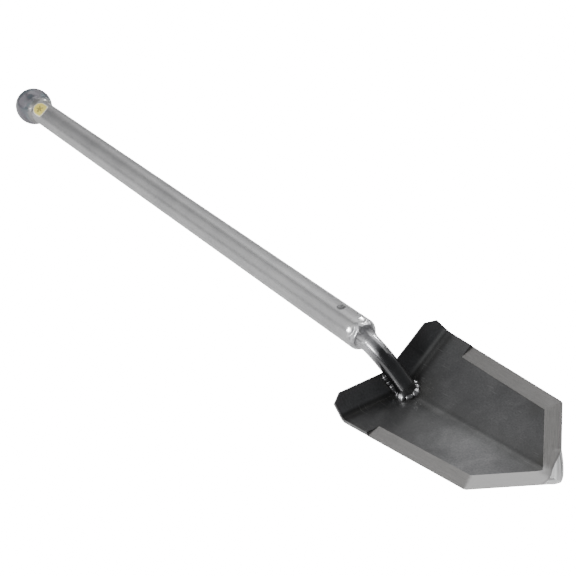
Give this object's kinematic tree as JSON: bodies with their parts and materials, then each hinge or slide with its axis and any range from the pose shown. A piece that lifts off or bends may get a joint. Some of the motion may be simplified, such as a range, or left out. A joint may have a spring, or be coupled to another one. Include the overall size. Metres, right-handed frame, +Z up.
{
  "type": "detecting shovel",
  "caption": "All-steel digging shovel for metal detecting: straight tube handle with a ball end, cranked solid shank and a pointed, trough-shaped blade with ground edges.",
  "frame": {"origin": "on the floor the shovel lies on, under the middle of its length and width", "axes": "+X from the ball towards the blade's tip, +Z up from the floor, +Y across the blade towards the flank that stands up"},
  "size_m": [0.8982, 0.1206, 0.0586],
  "materials": {
    "tube_steel": "satin, clear coated",
    "ball_steel": "polished, heat tinted, clear coated",
    "handle_weld": "ground weld, clear coated",
    "label_foil": "gloss foil sticker",
    "shank_steel": "dark heat scale, clear coated",
    "sleeve_steel": "plain",
    "plug_steel": "ground weld",
    "blade_steel": "dark heat scale with ground bevels, clear coated",
    "blade_weld": "as-welded bead, clear coated"
  },
  "bodies": {
    "root": {"handle_tube": "tube_steel", "ball_grip": "ball_steel", "ball_weld": "handle_weld", "ball_label": "label_foil", "shank": "shank_steel", "shank_sleeve": "sleeve_steel", "tube_end_weld": "handle_weld", "plug_weld_upper": "plug_steel", "plug_weld_lower": "plug_steel", "blade": "blade_steel", "blade_weld_left": "blade_weld", "blade_weld_right": "blade_weld", "blade_weld_toe": "blade_weld", "blade_weld_heel": "blade_weld"}
  },
  "joints": []
}
